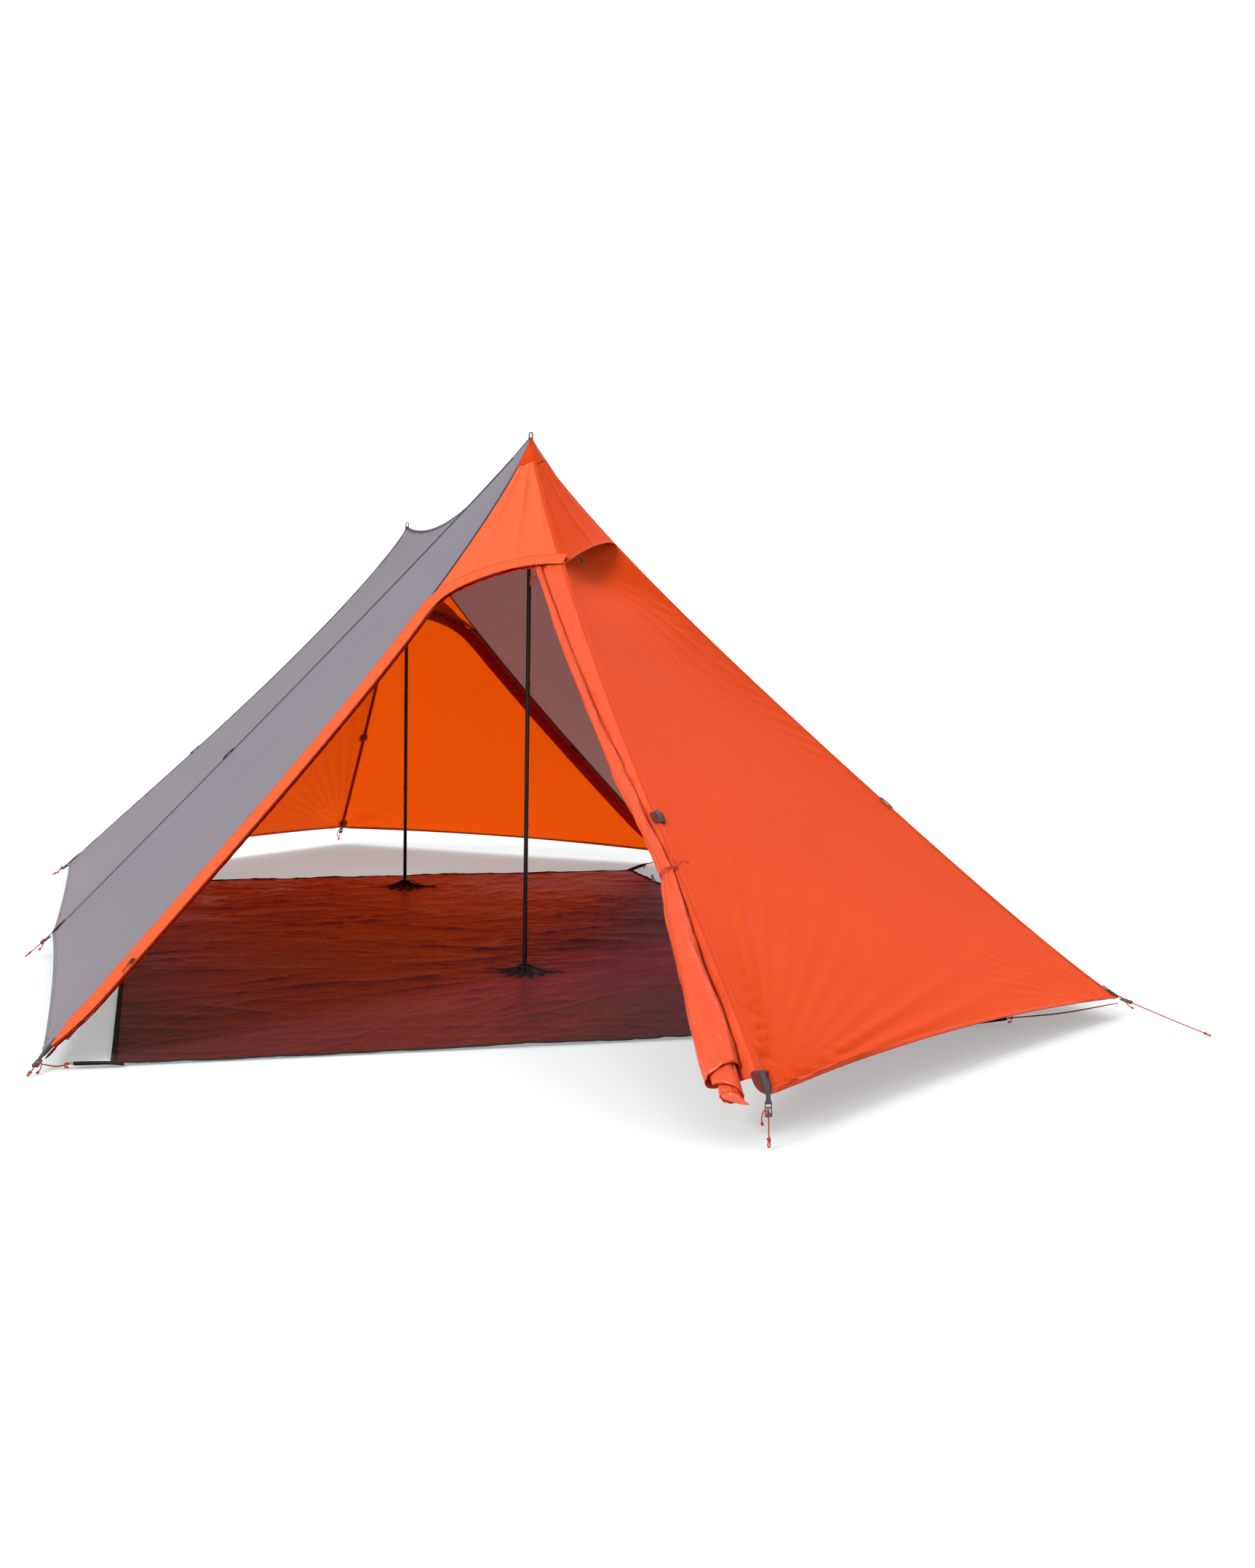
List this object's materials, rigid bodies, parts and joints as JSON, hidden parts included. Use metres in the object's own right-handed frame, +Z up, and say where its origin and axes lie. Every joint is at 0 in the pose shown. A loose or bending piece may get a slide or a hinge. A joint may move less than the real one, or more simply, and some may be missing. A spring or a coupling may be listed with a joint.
{
  "type": "two-pole shelter tent",
  "caption": "Six-sided ridge shelter on upright telescoping poles, with pointed ends, vent hoods, a rolled-back corner door, line locks with cord loops and a loose ground sheet.",
  "frame": {"origin": "on the ground sheet's underside, under the head pole", "axes": "+Y from the head pole to the foot pole, along the ridge; +X to the right seen from the head end; +Z up"},
  "size_m": [2.8584, 5.2332, 1.5135],
  "materials": {
    "orange_fabric": "coated ripstop, satin",
    "grey_fabric": "coated ripstop, satin",
    "patch_fabric": "woven reinforcement, matte",
    "floor_fabric": "coated nylon, creased, satin",
    "floor_binding": "woven binding, matte",
    "grey_webbing": "woven webbing, matte",
    "red_cord": "braided cord",
    "grey_plastic": "moulded, matte",
    "black_plastic": "moulded, matte",
    "pole_metal": "dark anodised",
    "inner_tube_metal": "dark anodised",
    "pin_steel": "plated",
    "shoe_rubber": "moulded, matte",
    "zip_metal": "painted",
    "zip_tape": "coil zip on tape"
  },
  "bodies": {
    "root": {"boot_drawcords": "red_cord", "corner_patches": "patch_fabric", "corner_webbing": "grey_webbing", "floor_cords": "red_cord", "floor_rings": "pin_steel", "floor_webbing": "floor_binding", "foot_door_panel": "orange_fabric", "foot_hood": "orange_fabric", "foot_pole_upper": "inner_tube_metal", "foot_wall_panel": "orange_fabric", "ground_sheet": "floor_fabric", "ground_sheet_binding": "floor_binding", "head_hood": "orange_fabric", "head_pole_upper": "inner_tube_metal", "head_wall_panel": "orange_fabric", "hood_tie_cords": "red_cord", "peak_caps": "orange_fabric", "peak_cups": "grey_plastic", "peak_loops": "grey_webbing", "pole_boots": "floor_fabric", "pole_tips": "black_plastic", "pull_out_loops": "grey_webbing", "side_front_left": "grey_fabric", "side_front_right": "grey_fabric", "side_rear_left": "grey_fabric", "side_rear_right": "grey_fabric", "zip_tracks": "zip_tape"},
    "head_pole": {"head_pole_lower": "pole_metal", "head_pole_shoe": "shoe_rubber", "head_pole_clamp": "black_plastic", "head_clamp_pin": "pin_steel"},
    "head_lever": {"head_clamp_lever": "black_plastic"},
    "head_zip": {"head_zip_slider": "zip_metal"},
    "head_strut": {"head_vent_strut": "black_plastic"},
    "foot_pole": {"foot_pole_lower": "pole_metal", "foot_pole_shoe": "shoe_rubber", "foot_pole_clamp": "black_plastic", "foot_clamp_pin": "pin_steel"},
    "foot_lever": {"foot_clamp_lever": "black_plastic"},
    "foot_zip": {"foot_zip_slider": "zip_metal"},
    "foot_strut": {"foot_vent_strut": "black_plastic"},
    "door_roll": {"head_door_roll": "orange_fabric", "door_tie_cord": "red_cord"},
    "door_toggle": {"door_toggle": "grey_plastic"},
    "guy_head_centre": {"line_lock_head_centre": "grey_plastic", "guy_cord_head_centre": "red_cord"},
    "guy_head_left": {"line_lock_head_left": "grey_plastic", "guy_cord_head_left": "red_cord"},
    "guy_head_right": {"line_lock_head_right": "grey_plastic", "guy_cord_head_right": "red_cord"},
    "guy_mid_left": {"line_lock_mid_left": "grey_plastic", "guy_cord_mid_left": "red_cord"},
    "guy_mid_right": {"line_lock_mid_right": "grey_plastic", "guy_cord_mid_right": "red_cord"},
    "guy_foot_left": {"line_lock_foot_left": "grey_plastic", "guy_cord_foot_left": "red_cord"},
    "guy_foot_right": {"line_lock_foot_right": "grey_plastic", "guy_cord_foot_right": "red_cord"},
    "guy_foot_centre": {"line_lock_foot_centre": "grey_plastic", "guy_cord_foot_centre": "red_cord"}
  },
  "joints": [
    {"name": "head_pole_slide", "type": "slide", "parent": "root", "child": "head_pole", "axis": [0, 0, 1], "range_m": [0, 0.22]},
    {"name": "head_lever_open", "type": "hinge", "parent": "head_pole", "child": "head_lever", "pos_m": [0.015, 0, 1.172], "axis": [0, -1, 0], "range_deg": [0, 110]},
    {"name": "head_zip_run", "type": "slide", "parent": "root", "child": "head_zip", "axis": [0.643, 0.4525, 0.6179], "range_m": [0, 0.2]},
    {"name": "head_strut_fold", "type": "hinge", "parent": "root", "child": "head_strut", "pos_m": [0.05671, -0.3085, 1.17615], "axis": [-0.8362, -0.5265, 0.1536], "range_deg": [0, 60]},
    {"name": "foot_pole_slide", "type": "slide", "parent": "root", "child": "foot_pole", "axis": [0, 0, 1], "range_m": [0, 0.2]},
    {"name": "foot_lever_open", "type": "hinge", "parent": "foot_pole", "child": "foot_lever", "pos_m": [0.015, 1.77, 0.985], "axis": [0, -1, 0], "range_deg": [0, 110]},
    {"name": "foot_zip_run", "type": "slide", "parent": "root", "child": "foot_zip", "axis": [-0.6854, -0.2886, 0.6686], "range_m": [0, 0.2]},
    {"name": "foot_strut_fold", "type": "hinge", "parent": "root", "child": "foot_strut", "pos_m": [-0.04817, 1.97682, 1.01847], "axis": [0.8086, 0.5807, 0.0948], "range_deg": [0, 60]},
    {"name": "door_roll_swing", "type": "hinge", "parent": "root", "child": "door_roll", "pos_m": [0, -0.42785, 1.10539], "axis": [0, 0.8449, 0.5349], "range_deg": [-8, 18]},
    {"name": "door_toggle_turn", "type": "hinge", "parent": "door_roll", "child": "door_toggle", "pos_m": [-0.05573, -1.37884, 0.45867], "axis": [-0.9032, 0.2296, -0.3626], "range_deg": [0, 90]},
    {"name": "guy_swing_head_centre", "type": "hinge", "parent": "root", "child": "guy_head_centre", "pos_m": [0, -1.99135, 0.09107], "axis": [-1, 0, 0], "range_deg": [0, 60]},
    {"name": "guy_swing_head_left", "type": "hinge", "parent": "root", "child": "guy_head_left", "pos_m": [-1.35516, -0.96251, 0.0214], "axis": [-0.9244, 0.3813, 0], "range_deg": [0, 60]},
    {"name": "guy_swing_head_right", "type": "hinge", "parent": "root", "child": "guy_head_right", "pos_m": [1.35546, -0.96264, 0.05248], "axis": [-0.9179, -0.3968, 0], "range_deg": [0, 60]},
    {"name": "guy_swing_mid_left", "type": "hinge", "parent": "root", "child": "guy_mid_left", "pos_m": [-1.27577, 0.55846, 0.05619], "axis": [-0.1414, 0.9899, 0], "range_deg": [0, 60]},
    {"name": "guy_swing_mid_right", "type": "hinge", "parent": "root", "child": "guy_mid_right", "pos_m": [1.27577, 0.55846, 0.05619], "axis": [-0.1414, -0.9899, 0], "range_deg": [0, 60]},
    {"name": "guy_swing_foot_left", "type": "hinge", "parent": "root", "child": "guy_foot_left", "pos_m": [-1.14741, 2.25988, 0.04341], "axis": [0.8, 0.6, 0], "range_deg": [0, 60]},
    {"name": "guy_swing_foot_right", "type": "hinge", "parent": "root", "child": "guy_foot_right", "pos_m": [1.14741, 2.25988, 0.04341], "axis": [0.8, -0.6, 0], "range_deg": [0, 60]},
    {"name": "guy_swing_foot_centre", "type": "hinge", "parent": "root", "child": "guy_foot_centre", "pos_m": [0, 3.15625, 0.05666], "axis": [1, 0, 0], "range_deg": [0, 60]}
  ]
}
